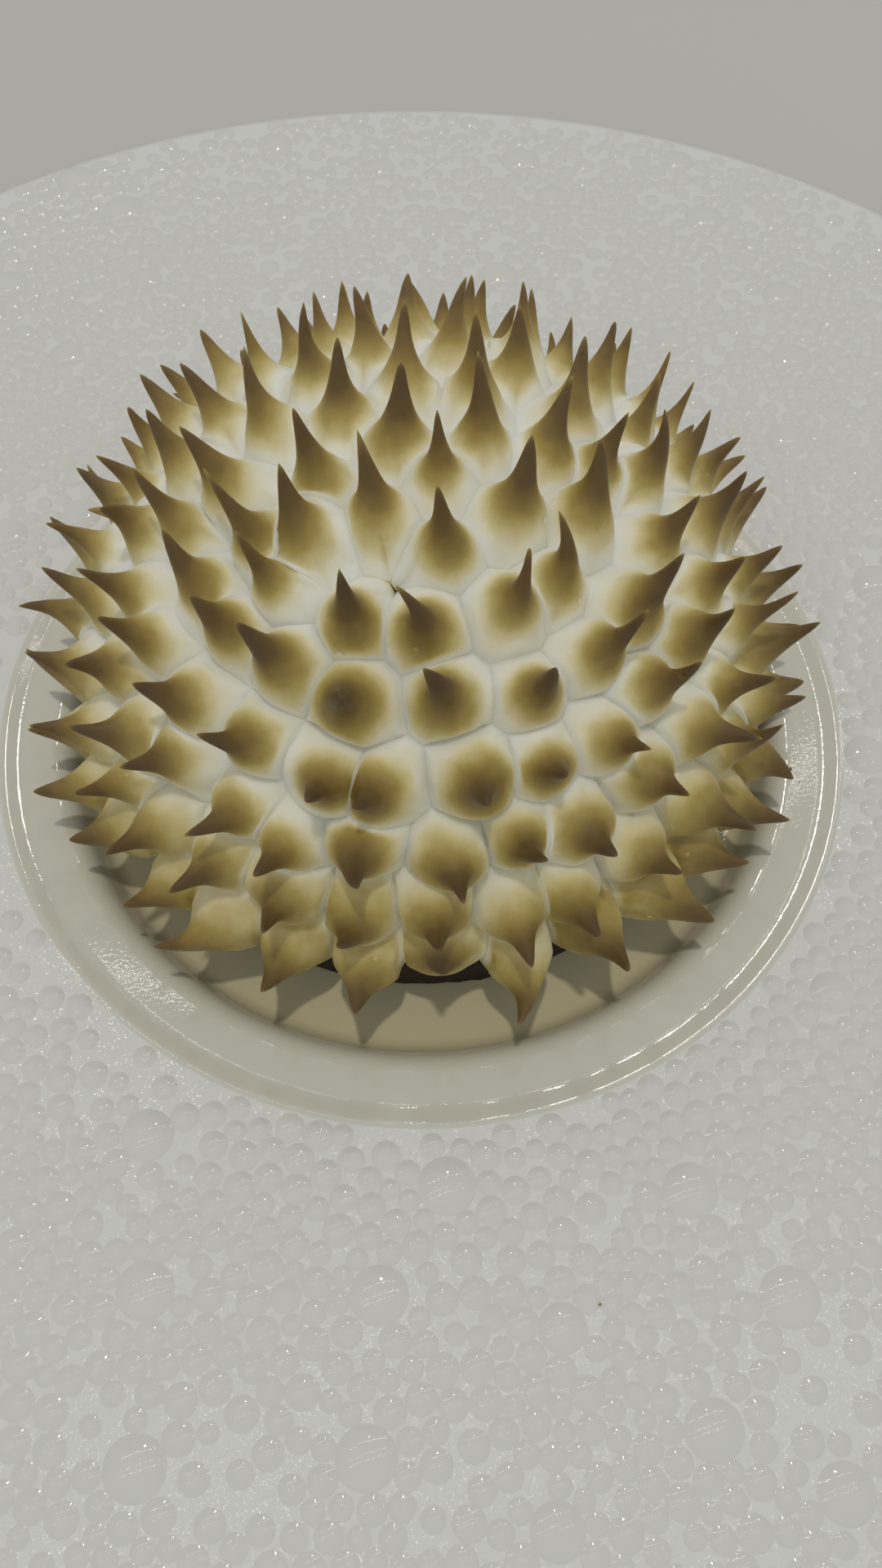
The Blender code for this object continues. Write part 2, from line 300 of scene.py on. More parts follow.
def glazed_porcelain():
    """Porcelain under a clear glaze: a soft white body, tinted warm in the well and on the band as painted
    bounce light and shade, sharp highlights that the glaze's ripple breaks into beads, and a glittering
    ground between the bubbles."""
    material = new_material("glazed_porcelain")
    place = add_node(material, "ShaderNodeTexCoord", {}).outputs["Object"]
    ground = add_node(material, "ShaderNodeAttribute", {}, attribute_name="ground").outputs["Fac"]
    painted_bounce = add_node(material, "ShaderNodeAttribute", {}, attribute_name="painted_bounce").outputs["Fac"]
    ripple = add_node(material, "ShaderNodeTexNoise", {
        "Vector": place, "Scale": 1.0 / RIPPLE_SIZE, "Detail": 1.0, "Roughness": 0.5})
    ripple_bump = add_node(material, "ShaderNodeBump", {
        "Height": ripple.outputs["Fac"], "Distance": RIPPLE_DEPTH, "Strength": 1.0})
    wave = add_node(material, "ShaderNodeTexNoise", {
        "Vector": place, "Scale": 1.0 / WAVE_SIZE, "Detail": 1.0, "Roughness": 0.5})
    wave_bump = add_node(material, "ShaderNodeBump", {
        "Height": wave.outputs["Fac"], "Distance": WAVE_DEPTH, "Strength": ground,
        "Normal": ripple_bump.outputs["Normal"]})
    # The ground is made of tiny flat facets, each a little askew, so that single ones flash.
    facets = add_node(material, "ShaderNodeTexVoronoi", {"Vector": place, "Scale": 1.0 / FACET_SIZE})
    askew = add_node(material, "ShaderNodeVectorMath", {
        0: facets.outputs["Color"], 1: (0.5, 0.5, 0.5)}, operation="SUBTRACT")
    amount = add_node(material, "ShaderNodeMapRange", {"Value": ground, "To Max": FACET_TILT})
    tilt = add_node(material, "ShaderNodeVectorMath", {
        0: askew.outputs["Vector"], "Scale": amount.outputs["Result"]}, operation="SCALE")
    tilted = add_node(material, "ShaderNodeVectorMath", {
        0: wave_bump.outputs["Normal"], 1: tilt.outputs["Vector"]}, operation="ADD")
    facet_normal = add_node(material, "ShaderNodeVectorMath", {
        0: tilted.outputs["Vector"]}, operation="NORMALIZE")
    zone = add_node(material, "ShaderNodeMath", {0: ground, 1: painted_bounce}, operation="SUBTRACT")
    share = add_node(material, "ShaderNodeMapRange", {"Value": zone.outputs["Value"], "From Min": -1.0})
    body = add_node(material, "ShaderNodeValToRGB", {"Fac": share.outputs["Result"]})
    set_ramp(body, PORCELAIN_AND_PAINTED_BOUNCE)
    shader = add_node(material, "ShaderNodeBsdfPrincipled", {
        "Base Color": body.outputs["Color"], "Roughness": 0.05, "IOR": 1.5,
        "Normal": facet_normal.outputs["Vector"]})
    return finish_material(material, shader)


porcelain = glazed_porcelain()
plate = add_piece("plate_glazed", press_plate(), porcelain)
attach(plate, "root")
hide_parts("plate")


# The bubbles: the rim's relief, like froth that has set.  They are of the plate's own porcelain and pressed
# with it, and they touch and run into each other, small ones between a hundred large ones.
BUBBLE_COUNT = 3600
LARGE_BUBBLES = 105
SMALL_RADII = (1.50 * MM, 2.40 * MM)
LARGE_RADII = (3.2 * MM, 4.4 * MM)
BUBBLE_OVERLAP = 0.22 * MM                    # how far neighbours are pressed into each other
BUBBLE_PULL = 0.5 * MM                        # bubbles this near draw each other in
PUSH_SHARE = 0.40                             # share of an overlap that one round of easing takes away
NEAR_SHARE = 0.08                             # and of a gap, between bubbles that draw each other in
FAR_SHARE = 0.01                              # or that don't
EASING_ROUNDS = 45
TURN_SPREAD = 0.07                            # in radians, of the large bubbles round the plate
EDGE_MARGIN = 1.3 * MM                        # left smooth along the plate's edge
BUBBLE_RISE = 0.24                            # height of a bubble over its radius
SMALL_SIDES = 12
LARGE_SIDES = 26
CAP_FOOT = 1.08                               # the caps start a little outside and below the ground
SMALL_LEVELS = (CAP_FOOT, 0.60)               # rings of a cap, as shares of its radius
LARGE_LEVELS = (CAP_FOOT, 0.80, 0.48)
CAP_CREASE = math.radians(60.0)               # edges sharper than this stay sharp
BUBBLE_SEED = 7


def blow_bubbles():
    """Centres and radii of the bubbles: the large spread evenly, the small strewn, then all eased apart."""
    rng = np.random.default_rng(BUBBLE_SEED)
    radii = rng.uniform(*SMALL_RADII, BUBBLE_COUNT)
    radii[:LARGE_BUBBLES] = rng.uniform(*LARGE_RADII, LARGE_BUBBLES)
    share = rng.uniform(0.0, 1.0, BUBBLE_COUNT)
    share[:LARGE_BUBBLES] = (np.arange(LARGE_BUBBLES) + 0.5) / LARGE_BUBBLES
    turn = rng.uniform(0.0, 2.0 * math.pi, BUBBLE_COUNT)
    golden_angle = math.pi * (3.0 - math.sqrt(5.0))
    turn[:LARGE_BUBBLES] = np.arange(LARGE_BUBBLES) * golden_angle
    turn[:LARGE_BUBBLES] += rng.normal(0.0, TURN_SPREAD, LARGE_BUBBLES)
    inside = RIM_INSIDE + radii
    outside = PLATE_RADIUS - EDGE_MARGIN - radii
    reach = np.sqrt(inside ** 2 + share * (outside ** 2 - inside ** 2))
    centres = np.stack([reach * np.cos(turn), reach * np.sin(turn)], axis=1)
    for _ in range(EASING_ROUNDS):
        pairs = neighbours(centres)
        first, second = pairs[:, 0], pairs[:, 1]
        apart = centres[second] - centres[first]
        distance = np.linalg.norm(apart, axis=1)
        excess = distance - (radii[first] + radii[second] - BUBBLE_OVERLAP)
        gap_share = np.where(excess < BUBBLE_PULL, NEAR_SHARE, FAR_SHARE)
        pull = np.where(excess < 0.0, PUSH_SHARE, gap_share) * excess / distance
        np.add.at(centres, first, apart * pull[:, None])
        np.add.at(centres, second, -apart * pull[:, None])
        reach = np.linalg.norm(centres, axis=1)
        centres *= (np.clip(reach, inside, outside) / reach)[:, None]
    return centres, radii


def neighbours(centres):
    """Pairs of bubbles that lie next to each other."""
    triangles = geometry.delaunay_2d_cdt([Vector(centre) for centre in centres], [], [], 0, 1e-9)[2]
    corners = np.array(triangles)
    pairs = np.concatenate([corners[:, [0, 1]], corners[:, [1, 2]], corners[:, [2, 0]]])
    return np.unique(np.sort(pairs, axis=1), axis=0)


def press_bubbles():
    """Every bubble as a closed shallow cap, sunk a little into the rim's flat ground."""
    points = []
    faces = []
    rng = random.Random(BUBBLE_SEED)
    for (x, y), radius in zip(*blow_bubbles()):
        large = radius > SMALL_RADII[1]
        sides = LARGE_SIDES if large else SMALL_SIDES
        levels = LARGE_LEVELS if large else SMALL_LEVELS
        first_angle = rng.uniform(0.0, math.pi)
        start = len(points)
        for level in levels:
            height = RIM_LEVEL + BUBBLE_RISE * radius * (1.0 - level ** 2)
            reach = level * radius
            for side in range(sides):
                angle = first_angle + 2.0 * math.pi * side / sides
                points.append((x + reach * math.cos(angle), y + reach * math.sin(angle), height))
        points.append((x, y, RIM_LEVEL + BUBBLE_RISE * radius))
        faces.append(tuple(reversed(range(start, start + sides))))
        for side in range(sides):
            after = (side + 1) % sides
            for ring in range(start, len(points) - 1 - sides, sides):
                faces.append((ring + side, ring + after, ring + sides + after, ring + sides + side))
            faces.append((len(points) - 1 - sides + side, len(points) - 1 - sides + after, len(points) - 1))
    mesh = bpy.data.meshes.new("bubbles")
    mesh.from_pydata(points, [], faces)
    mesh.shade_smooth()
    mesh.set_sharp_from_angle(angle=CAP_CREASE)
    return mesh


bubbles = add_piece("plate_bubbles", press_bubbles(), porcelain)
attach(bubbles, "root")


# The base: a disc of dark chocolate sponge, baked in a sheet and cut out with a ring, so that its top and
# bottom are flat and its side shows open crumb.
base_low, base_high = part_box("base")
BASE_RADIUS = (base_high.x - base_low.x) / 2.0
BASE_MIDDLE = (base_high.y + base_low.y) / 2.0
BASE_STEPS = 180
BASE_LEVELS = 14                              # rings up the side
BASE_INSIDE = 0.6 * BASE_RADIUS               # a ring that keeps the flat faces even
BASE_CREASE = math.radians(50.0)
CRUMB_SIZE = 1.6 * MM
CRUMB_DEPTH = 0.45 * MM
PORE_SIZE = 1.1 * MM
PORE_DEPTH = 0.4 * MM
# The crumb's colour, darkest in the middle of each pore as painted shade in the hollow.
SPONGE_WITH_PORE_SHADE = ((0.0, "#1b110d"), (1.0, "#3c281f"))


def cut_sponge():
    """A disc whose side is eaten into by its open crumb."""
    thickness = base_high.z - base_low.z
    rings = [(BASE_INSIDE, base_low.z)]
    rings += [(BASE_RADIUS, base_low.z + thickness * level / BASE_LEVELS) for level in range(BASE_LEVELS + 1)]
    rings += [(BASE_INSIDE, base_high.z)]
    points = []
    faces = []
    for radius, height in rings:
        for step in range(BASE_STEPS):
            angle = 2.0 * math.pi * step / BASE_STEPS
            place = Vector((radius * math.cos(angle), radius * math.sin(angle), height))
            # Coarse crumb, with finer crumb half as deep in it.
            crumb = noise.noise(place / CRUMB_SIZE) + 0.5 * noise.noise(place * (2.3 / CRUMB_SIZE))
            eaten = CRUMB_DEPTH * min(1.0, max(0.0, 0.5 + 0.7 * crumb)) if radius == BASE_RADIUS else 0.0
            left = 1.0 - eaten / radius
            points.append((place.x * left, place.y * left + BASE_MIDDLE, height))
    count = len(rings)
    for ring in range(count - 1):
        for step in range(BASE_STEPS):
            after = (step + 1) % BASE_STEPS
            faces.append((ring * BASE_STEPS + step, ring * BASE_STEPS + after,
                          (ring + 1) * BASE_STEPS + after, (ring + 1) * BASE_STEPS + step))
    for ring, height, outward in ((0, base_low.z, False), (count - 1, base_high.z, True)):
        points.append((0.0, BASE_MIDDLE, height))
        for step in range(BASE_STEPS):
            side = (ring * BASE_STEPS + step, ring * BASE_STEPS + (step + 1) % BASE_STEPS)
            faces.append((*(side if outward else reversed(side)), len(points) - 1))
    mesh = bpy.data.meshes.new("base")
    mesh.from_pydata(points, [], faces)
    mesh.shade_smooth()
    mesh.set_sharp_from_angle(angle=BASE_CREASE)
    return mesh


def chocolate_sponge():
    """Cocoa sponge, baked and cut: nearly black, dry, and pitted with small round pores, each darkened in its
    middle with painted shade.
    """
    material = new_material("chocolate_sponge")
    place = add_node(material, "ShaderNodeTexCoord", {}).outputs["Object"]
    pores = add_node(material, "ShaderNodeTexVoronoi", {"Vector": place, "Scale": 1.0 / PORE_SIZE})
    tint = add_node(material, "ShaderNodeValToRGB", {"Fac": pores.outputs["Distance"]})
    set_ramp(tint, SPONGE_WITH_PORE_SHADE)
    bump = add_node(material, "ShaderNodeBump", {"Height": pores.outputs["Distance"], "Distance": PORE_DEPTH})
    shader = add_node(material, "ShaderNodeBsdfPrincipled", {
        "Base Color": tint.outputs["Color"], "Roughness": 0.85, "Normal": bump.outputs["Normal"]})
    return finish_material(material, shader)


base = add_piece("base_sponge", cut_sponge(), chocolate_sponge())
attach(base, "root")
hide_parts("base")


# The meringue: small kisses piped with a plain round nozzle, ring by ring and pressed together into one dome,
# each pulled up to a thin peak, then browned with a torch that caught the peaks first.
MERINGUE_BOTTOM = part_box("meringue")[0].z
DOME_CENTRE = Vector((-0.4 * MM, BASE_MIDDLE - 0.5 * MM, MERINGUE_BOTTOM - 1.1 * MM))
VALLEY_RADIUS = 49.5 * MM                     # from the dome's centre to the creases
BOTTOM_RADIUS = 49.6 * MM                     # of the dome's lower edge
SADDLE_RISE = 1.35                            # how steeply a crease climbs where two kisses press together
CORNER_DISTANCE = 6.2 * MM                    # from a kiss's axis to a corner where three meet
CREASE_STEP = 1.15 * MM                       # between the points along a crease
SAME_LEVEL = 0.01 * MM                        # heights this near are the same
PEAK_LENGTH = 12.8 * MM
PEAK_SPREAD = 1.4 * MM
LEAN_SPREAD = 2.1 * MM
# All peaks are drawn off a little to the back left, those near the top further than those lower down.
LOW_PULL = Vector((-0.7 * MM, 1.3 * MM, 0.6 * MM))
HIGH_PULL = Vector((-0.9 * MM, 4.4 * MM, 1.4 * MM))
PULL_LATITUDES = (40.0, 62.0)                 # between these the low pull turns into the high one
SQUASHED_KISS = 24                            # the number of the one kiss whose peak was flattened
SQUASHED_LENGTH = 5.5 * MM
# Each ring of kisses: latitude and first azimuth in degrees, and how many.
RINGS = ((7.1, 5.1, 32), (18.6, 6.8, 31), (30.4, 2.4, 29), (41.6, 7.0, 25), (52.8, 8.0, 20), (63.4, 11.4, 15))
# The last kisses close the top: latitude and azimuth in degrees.
TOP_KISSES = ((69.5, -141.5), (75.5, -165.0), (74.5, 140.0), (74.5, 101.0), (74.0, 62.0), (71.0, 12.0),
              (74.0, -33.0), (74.0, -76.0), (78.5, -118.0), (80.5, 20.0), (84.8, -53.0), (86.0, 141.0))
LATITUDE_JITTER = 1.7                         # in degrees, not by rule
AZIMUTH_JITTER = 2.1
SIZE_SPREAD = 0.0022                          # how far a kiss's axis stands out, which sets its size
SEED = 29
# Zones of the dome, by the way from its centre: nothing at the first number and one at the second.
SLENDER_ZONE = (-0.45, 0.3)                   # towards the back, where kisses are slender
BACK_ZONE = (0.1, 0.6)
FRONT_ZONE = (-0.2, -0.7)
LEFT_ZONE = (0.2, 0.8)
LOW_ZONE = (0.42, 0.08)
TAN_TINT_HEIGHTS = (0.65, 0.10)                 # where the pale parts are tinted tan, low down
TAN_TINT_DEPTHS = (0.2, -0.5)                   # and in front
# Where the folds in front carry painted shade.
SHADED_CREASE_ZONE = (0.35, -0.35)
# A kiss by level, from 0 at its crease to 1 at its tip.
LEVELS = (0.025, 0.06, 0.105, 0.16, 0.22, 0.28, 0.34, 0.40, 0.46, 0.52, 0.59, 0.67, 0.76, 0.86, 0.94, 0.985)
WAIST = 0.44                                  # the level at which the body has narrowed by half
LOW_WAIST = 0.05                              # so much higher low down on the dome
WAIST_SPREAD = 0.03
TAPER = 4.0                                   # how suddenly the body narrows
SLENDER_TAPER = 0.6                           # so much less in the slender kisses behind
TAPER_SPREAD = 0.4
WICK = 0.26                                   # share of the width that runs on into the peak
WICK_SPREAD = 0.09
GROOVE = 0.05                                 # how far a kiss draws in just above its crease
SLENDER_GROOVE = 0.25
GROOVE_SPREAD = 0.02
GROOVE_LEVEL = 0.06                           # and how far up it goes on drawing in
SLENDER_GROOVE_LEVEL = 0.14
TIP_ROUNDNESS = 16                            # the power that rounds off the very tip
WALL_SHARE = 0.97                             # the wall stays inside this share of the crease's reach
WALL_LEAN = 0.25                              # and ever further inside it towards the tip
SETTLED_LEVEL = 0.40                          # above this the crease's own height no longer shows
ROUND_LEVEL = 0.30                            # above this a kiss is round, whatever its neighbours
SLENDER_ROUND_LEVEL = 0.14                    # so much lower down in the slender kisses
OVAL = 0.045                                  # how far a kiss may be out of round
OVAL_LEVEL = 0.2
DROOP = 2.4 * MM                              # how far low kisses sag
DROOP_LEVEL = 0.3
HOOK_CHANCE = 0.35                            # that the tip is bent over
LOW_HOOK_CHANCE = 0.25                        # added low down on the dome
HOOK_REACH = (1.2 * MM, 2.8 * MM)
STRAIGHT_REACH = (0.0, 0.7 * MM)
HOOK_LEVEL = 0.5                              # where the bend begins
NUB_CHANCE = 0.25                             # that the tip ends in a small knob
NUB_SIZE = 0.12 * MM
NUB_LEVELS = (0.88, 0.97)
LUMP_SIZE = 4.5 * MM
LUMP_HEIGHT = 0.22 * MM
LUMP_LEVEL = 0.15
LUMP_FADE = 0.6                               # how far the lumps die away towards the tip
MERINGUE_CREASE = math.radians(55.0)          # edges sharper than this stay sharp
# The torch: how much it browned, where 0 is raw and 1 is burnt; some of it is painted light and shade.
TORCH_WAY = Vector((0.0, -0.9, 0.2))          # the side that it came from
TORCH_WANDER = 0.7                            # how far that side changes from kiss to kiss
TORCH_SHARE = 0.13                            # how much browner a kiss is on that side
SIDE_SHARE = 0.6                              # how far browning follows height; the rest follows narrowness
LOW_TAN = 0.18                                # how far the pale parts low in front are tinted tan
TAN_LEVELS = (0.5, 0.1)
CREASE_SHADE_TINT = 0.12                             # painted shade: how far the folds in front are tinted warm
TORCH_LEVEL = 0.2                             # below this the torch caught less and less
TORCH_SPREAD = (-0.05, 0.03)                  # from kiss to kiss, before its zone is counted
LOW_TORCH = 0.10
FRONT_TORCH = 0.05
# Less browning behind: partly a lighter toasting, partly painted sky light that whitens the back.
BACK_TORCH_AND_LIGHT = 0.075
# Less browning on the left: painted light that whitens the left side.
LEFT_PAINTED_LIGHT = 0.04
LOW_SCORCH = 0.27                             # how much less the tips are burnt low down
BACK_SCORCH = 0.08                            # and behind
OPEN_GAP_SHADE = 0.7                              # painted shade browned into the gap that the kisses left open
OPEN_CORNER = (70.3, -100.0)                  # latitude and azimuth of a small gap that the kisses left open
OPEN_REACH = 0.034                            # of the gap, as a share of the dome's radius
OPEN_DEPTH = 2.6 * MM


def direction(latitude, azimuth):
    """The way from the dome's centre to a place on it."""
    level = math.cos(math.radians(latitude))
    return Vector((level * math.cos(math.radians(azimuth)), level * math.sin(math.radians(azimuth)),
                   math.sin(math.radians(latitude))))


def smooth_step(low, high, value):
    """Nothing at low, one at high, and an even swing between."""
    share = min(1.0, max(0.0, (value - low) / (high - low)))
    return share * share * (3.0 - 2.0 * share)


def pipe_kisses():
    """Every kiss: the direction of its axis, its weight in the outline, its peak's length and lean."""
    rng = random.Random(SEED)
    places = []
    for latitude, first, count in RINGS:
        for index in range(count):
            azimuth = first + 360.0 * index / count
            azimuth += rng.uniform(-AZIMUTH_JITTER, AZIMUTH_JITTER) / math.cos(math.radians(latitude))
            places.append((latitude + rng.uniform(-LATITUDE_JITTER, LATITUDE_JITTER), azimuth))
    places += TOP_KISSES
    kisses = []
    for latitude, azimuth in places:
        axis = direction(latitude, azimuth)
        east = Vector((0.0, 0.0, 1.0)).cross(axis).normalized()
        north = axis.cross(east)
        weight = 1.0 + rng.uniform(-SIZE_SPREAD, SIZE_SPREAD)
        length = PEAK_LENGTH + rng.uniform(-PEAK_SPREAD, PEAK_SPREAD)
        turn = rng.uniform(0.0, 2.0 * math.pi)
        lean = LEAN_SPREAD * math.sqrt(rng.random()) * (east * math.cos(turn) + north * math.sin(turn))
        pull = LOW_PULL.lerp(HIGH_PULL, smooth_step(*PULL_LATITUDES, latitude))
        lean += pull - axis * pull.dot(axis)
        if len(kisses) == SQUASHED_KISS:
            length = SQUASHED_LENGTH
            lean *= 0.0
        kisses.append((axis, weight, length, lean))
    return kisses


def crease_network(kisses):
    """The corners where three kisses meet, each with the numbers of those kisses.

    A ring of stand-in points below the lowest ring, with negative numbers, closes the outlines along the
    dome's bottom edge.
    """
    hull = bmesh.new()
    owner = {}
    for number, (axis, weight, _, _) in enumerate(kisses):
        owner[hull.verts.new(axis * weight)] = number
    lowest, _, count = RINGS[0]
    bottom_latitude = math.degrees(math.asin((MERINGUE_BOTTOM - DOME_CENTRE.z) / BOTTOM_RADIUS))
    for number in range(count):
        between = kisses[number][0] + kisses[(number + 1) % count][0]
        azimuth = math.degrees(math.atan2(between.y, between.x))
        owner[hull.verts.new(direction(2.0 * bottom_latitude - lowest, azimuth))] = -1 - number
    bmesh.ops.convex_hull(hull, input=hull.verts)
    hull.normal_update()
    corners = []
    for face in hull.faces:
        numbers = [owner[vert] for vert in face.verts]
        if max(numbers) >= 0:
            corners.append((face.normal.copy(), numbers))
    hull.free()
    return corners


def openness(way):
    """One in the middle of the gap, and nothing a little way off it."""
    return max(0.0, 1.0 - (way - direction(*OPEN_CORNER)).length / OPEN_REACH)


def low_in_front(way):
    """One for a place low down in front, where the pale parts are tinted tan, and nothing higher up and
    behind.
    """
    return smooth_step(*TAN_TINT_HEIGHTS, way.z) * smooth_step(*TAN_TINT_DEPTHS, way.y)


def crease_point(way, kisses, on_bottom):
    """The place of a point on the creases, which climb where two kisses press together."""
    if on_bottom:
        level = Vector((way.x, way.y, 0.0)).normalized() * BOTTOM_RADIUS
        return Vector((DOME_CENTRE.x, DOME_CENTRE.y, MERINGUE_BOTTOM)) + level
    nearest = min((axis - way).length for axis, _, _, _ in kisses) * VALLEY_RADIUS
    climb = SADDLE_RISE * max(0.0, CORNER_DISTANCE - nearest) - OPEN_DEPTH * openness(way)
    return DOME_CENTRE + way * (VALLEY_RADIUS + climb)


def kiss_manner(axis, rng):
    """What sets a kiss apart from the next, partly chance and partly its place on the dome."""
    slender = smooth_step(*SLENDER_ZONE, axis.y)
    low = smooth_step(*LOW_ZONE, axis.z)
    behind = smooth_step(*BACK_ZONE, axis.y)
    kiss = SimpleNamespace(slender=slender, droop=DROOP * low)
    kiss.waist = WAIST + LOW_WAIST * low + rng.uniform(-WAIST_SPREAD, WAIST_SPREAD)
    kiss.taper = TAPER - SLENDER_TAPER * slender + rng.uniform(-TAPER_SPREAD, TAPER_SPREAD)
    kiss.groove = GROOVE + SLENDER_GROOVE * slender + rng.uniform(-GROOVE_SPREAD, GROOVE_SPREAD)
    kiss.wick = WICK + rng.uniform(-WICK_SPREAD, WICK_SPREAD)
    kiss.oval = rng.uniform(0.0, OVAL)
    kiss.oval_turn = rng.uniform(0.0, math.pi)
    kiss.hook_turn = rng.uniform(0.0, 2.0 * math.pi)
    hooked = rng.random() < HOOK_CHANCE + LOW_HOOK_CHANCE * low
    kiss.hook = rng.uniform(*(HOOK_REACH if hooked else STRAIGHT_REACH))
    kiss.nub = rng.uniform(0.0, NUB_SIZE) if rng.random() < NUB_CHANCE else 0.0
    kiss.torch = rng.uniform(*TORCH_SPREAD) + LOW_TORCH * low
    kiss.torch += FRONT_TORCH * smooth_step(*FRONT_ZONE, axis.y)
    # Paler behind and on the left, partly as painted light.
    kiss.torch -= BACK_TORCH_AND_LIGHT * behind + LEFT_PAINTED_LIGHT * smooth_step(*LEFT_ZONE, -axis.x)
    kiss.scorch = 1.0 - LOW_SCORCH * low - BACK_SCORCH * behind
    kiss.torch_way = TORCH_WAY + Vector([rng.uniform(-TORCH_WANDER, TORCH_WANDER) for _ in range(3)])
    return kiss


def kiss_width(level, kiss):
    """The width at a level, as a share of the foot's: a full body that runs on into a thin peak."""
    width = (1.0 - kiss.wick) / (1.0 + (level / kiss.waist) ** kiss.taper) + kiss.wick * (1.0 - level) ** 0.5
    drawn_in = 1.0 - math.exp(-level / (GROOVE_LEVEL + SLENDER_GROOVE_LEVEL * kiss.slender))
    return width * (1.0 - kiss.groove * drawn_in) * math.sqrt(1.0 - level ** TIP_ROUNDNESS)


def loft_kiss(axis, length, lean, kiss, outline, points, toast_and_painted_light, faces):
    """Build one kiss in rings, from the points of its crease up to its tip."""
    east = Vector((0.0, 0.0, 1.0)).cross(axis).normalized()
    north = axis.cross(east)
    foot = DOME_CENTRE + axis * VALLEY_RADIUS
    offsets = [points[at] - foot for at in outline]
    crease = sorted((math.atan2(offset.dot(north), offset.dot(east)), at,
                     math.hypot(offset.dot(east), offset.dot(north)), offset.dot(axis))
                    for offset, at in zip(offsets, outline))
    mean_reach = sum(row[2] for row in crease) / len(crease)
    hook_way = east * math.cos(kiss.hook_turn) + north * math.sin(kiss.hook_turn)
    round_level = ROUND_LEVEL - SLENDER_ROUND_LEVEL * kiss.slender
    below = [row[1] for row in crease]
    count = len(below)
    for level in LEVELS:
        ring = []
        full = kiss_width(level, kiss)
        settled = 1.0 - smooth_step(0.0, SETTLED_LEVEL, level)
        round_share = smooth_step(0.0, round_level, level)
        bend = kiss.hook * max(0.0, (level - HOOK_LEVEL) / (1.0 - HOOK_LEVEL)) ** 2
        depth = kiss.scorch * (SIDE_SHARE * level + (1.0 - SIDE_SHARE) * (1.0 - full))
        tan = LOW_TAN * low_in_front(axis) * smooth_step(*TAN_LEVELS, level)
        for angle, _, reach, height in crease:
            side = east * math.cos(angle) + north * math.sin(angle)
            width = (reach + (mean_reach - reach) * round_share) * full
            squeeze = kiss.oval * math.cos(2.0 * (angle - kiss.oval_turn))
            width *= 1.0 + squeeze * smooth_step(0.0, OVAL_LEVEL, level)
            # The wall always leans in from the crease, so that neighbours never meet above it.
            width = min(width, reach * (WALL_SHARE - WALL_LEAN * level))
            width += kiss.nub * smooth_step(*NUB_LEVELS, level)
            place = foot + side * width + axis * (height * settled + length * level) + lean * level ** 2
            place += hook_way * bend
            sag = kiss.droop * max(0.0, -math.sin(angle)) * smooth_step(0.0, DROOP_LEVEL, level) * full
            place -= north * sag
            lump = LUMP_HEIGHT * noise.noise(place / LUMP_SIZE) * smooth_step(0.0, LUMP_LEVEL, level)
            place += side * lump * (1.0 - LUMP_FADE * level)
            ring.append(len(points))
            points.append(place)
            caught = TORCH_SHARE * side.dot(kiss.torch_way) * (1.0 - level)
            toast_and_painted_light.append(depth + tan + (kiss.torch + caught) * smooth_step(0.0, TORCH_LEVEL, level))
        faces += [(below[at], below[(at + 1) % count], ring[(at + 1) % count], ring[at])
                  for at in range(count)]
        below = ring
    points.append(foot + axis * length + lean + hook_way * kiss.hook)
    toast_and_painted_light.append(kiss.scorch)
    faces += [(below[at], below[(at + 1) % count], len(points) - 1) for at in range(count)]


def pipe_meringue():
    """One closed mesh of every kiss, lofted from the shared creases, and how far the torch browned it, with
    painted light and shade mixed in.
    """
    kisses = pipe_kisses()
    points = []
    toast_and_painted_light = []
    outlines = [[] for _ in kisses]
    creases = {}

    def crease_vertex(way, numbers):
        points.append(crease_point(way, kisses, min(numbers) < 0))
        # Painted warm shade in the folds in front, and the tan of the pale parts low in front.
        tan = CREASE_SHADE_TINT * smooth_step(*SHADED_CREASE_ZONE, way.y) + LOW_TAN * low_in_front(way)
        # Painted shade darkens the gap that the kisses left open.
        toast_and_painted_light.append(OPEN_GAP_SHADE * openness(way) + tan)
        for number in numbers:
            if number >= 0:
                outlines[number].append(len(points) - 1)

    for way, numbers in crease_network(kisses):
        crease_vertex(way, numbers)
        for index, number in enumerate(numbers):
            creases.setdefault(frozenset((number, numbers[index - 1])), []).append((way, len(points) - 1))
    bottom_points = [at for at, point in enumerate(points) if abs(point.z - MERINGUE_BOTTOM) < SAME_LEVEL]
    for pair, ends in creases.items():
        if max(pair) < 0:
            continue
        steps = max(1, round((points[ends[0][1]] - points[ends[1][1]]).length / CREASE_STEP))
        for step in range(1, steps):
            crease_vertex(ends[0][0].lerp(ends[1][0], step / steps).normalized(), pair)
            if min(pair) < 0:
                bottom_points.append(len(points) - 1)

    faces = []
    rng = random.Random(SEED + 1)
    for (axis, _, length, lean), outline in zip(kisses, outlines):
        loft_kiss(axis, length, lean, kiss_manner(axis, rng), outline, points, toast_and_painted_light, faces)

    bottom_points.sort(key=lambda at: math.atan2(points[at].y - DOME_CENTRE.y, points[at].x - DOME_CENTRE.x))
    points.append(Vector((DOME_CENTRE.x, DOME_CENTRE.y, MERINGUE_BOTTOM)))
    toast_and_painted_light.append(0.0)
    faces += [(after, before, len(points) - 1)
              for before, after in zip(bottom_points, bottom_points[1:] + bottom_points[:1])]
    mesh = bpy.data.meshes.new("meringue")
    mesh.from_pydata(points, [], faces)
    mesh.shade_smooth()
    mesh.set_sharp_from_angle(angle=MERINGUE_CREASE)
    mesh.attributes.new("toast_and_painted_light", "FLOAT", "POINT").data.foreach_set("value", toast_and_painted_light)
    return mesh


